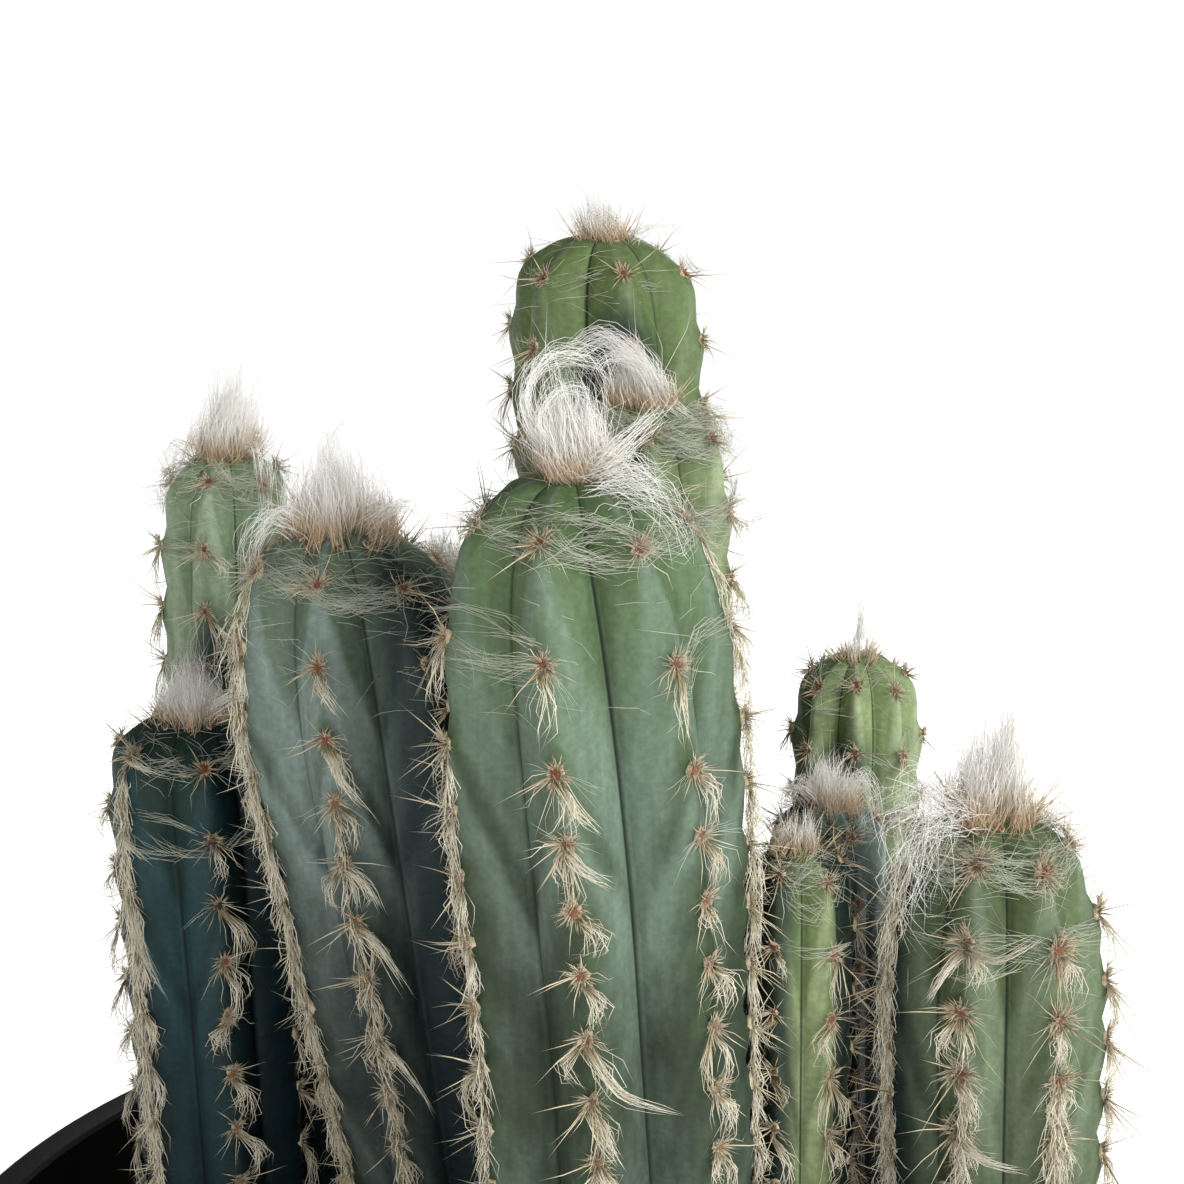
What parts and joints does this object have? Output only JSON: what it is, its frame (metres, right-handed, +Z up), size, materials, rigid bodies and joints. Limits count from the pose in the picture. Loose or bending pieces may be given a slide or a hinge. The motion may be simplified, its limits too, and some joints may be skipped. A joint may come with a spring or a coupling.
{
  "type": "potted blue torch cactus",
  "caption": "Clump of ribbed blue-green cactus columns with spines along the ribs and woolly crowns, standing in soil in a round black nursery pot.",
  "frame": {"origin": "centre of the pot's underside, on the plane it stands on", "axes": "+Z up along the pot's axis; the clump's front, as pictured, faces -Y and its right is +X"},
  "size_m": [0.24, 0.24, 0.4443],
  "materials": {
    "pot_plastic": "satin black moulded plastic",
    "potting_soil": "loose dark bark and peat mix",
    "cactus_skin": "waxy blue-green skin with pale bloom",
    "wool": "fine white and tan wool"
  },
  "bodies": {
    "root": {"pot": "pot_plastic", "soil": "potting_soil", "tall_back": "cactus_skin", "centre_front": "cactus_skin", "centre_back": "cactus_skin", "left_front": "cactus_skin", "left_side": "cactus_skin", "left_back": "cactus_skin", "right_front": "cactus_skin", "right_back": "cactus_skin", "right_inner": "cactus_skin", "right_small": "cactus_skin", "left_inner": "cactus_skin", "left_hidden": "cactus_skin", "tall_back_wool": "wool", "centre_front_wool": "wool", "centre_back_wool": "wool", "left_front_wool": "wool", "left_side_wool": "wool", "left_back_wool": "wool", "right_front_wool": "wool", "right_back_wool": "wool", "right_inner_wool": "wool", "right_small_wool": "wool", "left_inner_wool": "wool", "left_hidden_wool": "wool"}
  },
  "joints": []
}
